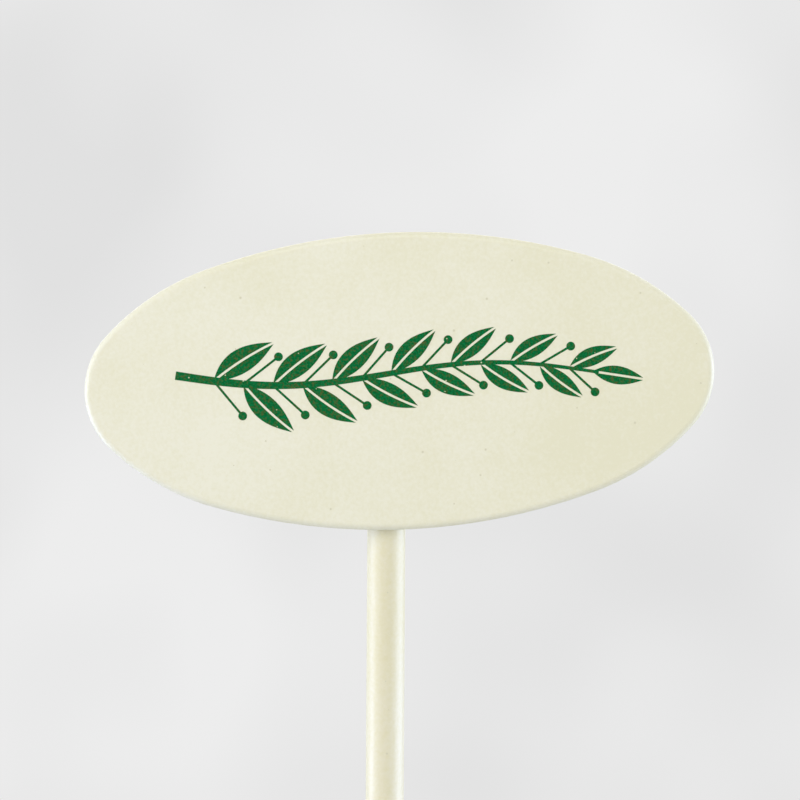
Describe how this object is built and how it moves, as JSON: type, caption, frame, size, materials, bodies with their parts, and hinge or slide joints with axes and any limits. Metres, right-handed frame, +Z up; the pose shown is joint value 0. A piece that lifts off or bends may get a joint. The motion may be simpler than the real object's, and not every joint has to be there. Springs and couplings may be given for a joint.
{
  "type": "plant label stake",
  "caption": "Oval coated metal label plate welded to a slim round rod with a point, pushed into soil to mark a plant.",
  "frame": {"origin": "on the rod's axis at the soil line, where the ground holds the stake", "axes": "+Z up along the rod, -Y out of the plate's printed face, +X to the right as the face is read"},
  "size_m": [0.082, 0.0069, 0.2688],
  "materials": {
    "plate_coating": "satin",
    "rod_coating": "satin",
    "weld_coating": "satin",
    "print_ink": "satin"
  },
  "bodies": {
    "root": {"label_plate": "plate_coating", "stake_rod": "rod_coating", "weld_lower_left": "weld_coating", "weld_lower_right": "weld_coating", "weld_upper_left": "weld_coating", "weld_upper_right": "weld_coating"}
  },
  "joints": []
}
